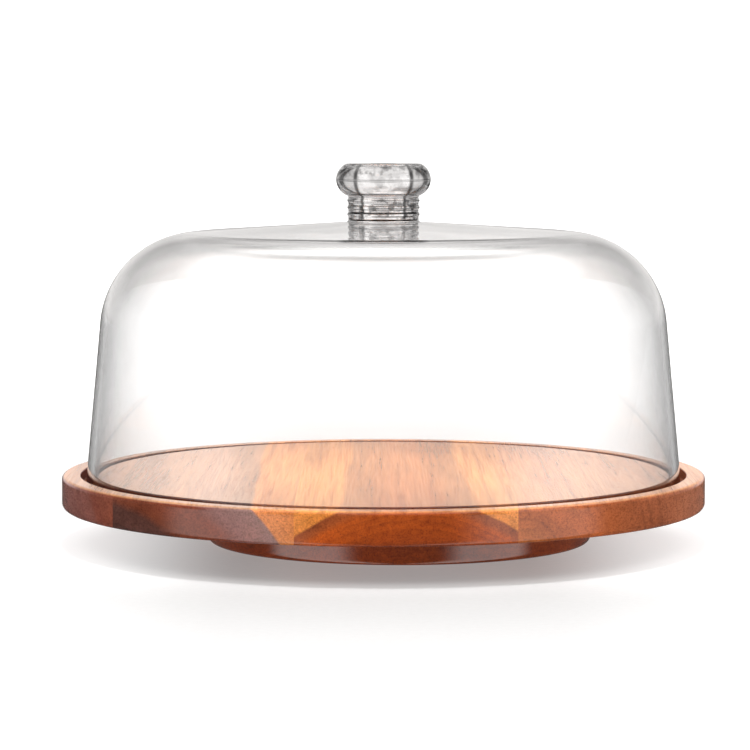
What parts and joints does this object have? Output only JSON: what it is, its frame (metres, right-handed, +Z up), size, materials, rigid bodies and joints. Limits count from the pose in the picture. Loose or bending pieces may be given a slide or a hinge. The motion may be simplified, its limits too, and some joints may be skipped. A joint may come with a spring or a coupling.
{
  "type": "cake stand with dome",
  "caption": "Round footed wooden cake board with a grooved rim, and a clear glass dome with a solid glass knob that stands loose in the groove and lifts off.",
  "frame": {"origin": "on the table, under the centre of the round board", "axes": "+Z up along the dome's axis, +X to the right across the planks, +Y to the back along the planks"},
  "size_m": [0.305, 0.305, 0.1794],
  "materials": {
    "wood_dark": "gloss varnish",
    "wood_purple_brown": "gloss varnish",
    "wood_orange": "gloss varnish",
    "wood_red": "gloss varnish",
    "wood_foot": "gloss varnish",
    "screw_steel": "zinc plated",
    "pad_silicone": "satin",
    "dome_glass": "polished"
  },
  "bodies": {
    "stand": {"platter_plank_1": "wood_dark", "platter_plank_2": "wood_purple_brown", "platter_plank_3": "wood_orange", "platter_plank_4": "wood_red", "foot_disc": "wood_foot", "foot_screws": "screw_steel", "foot_pads": "pad_silicone"},
    "dome": {"dome_shell": "dome_glass", "dome_knob": "dome_glass"}
  },
  "joints": [
    {"name": "dome_lift", "type": "slide", "parent": "stand", "child": "dome", "axis": [0, 0, 1], "range_m": [0, 0.16]}
  ]
}
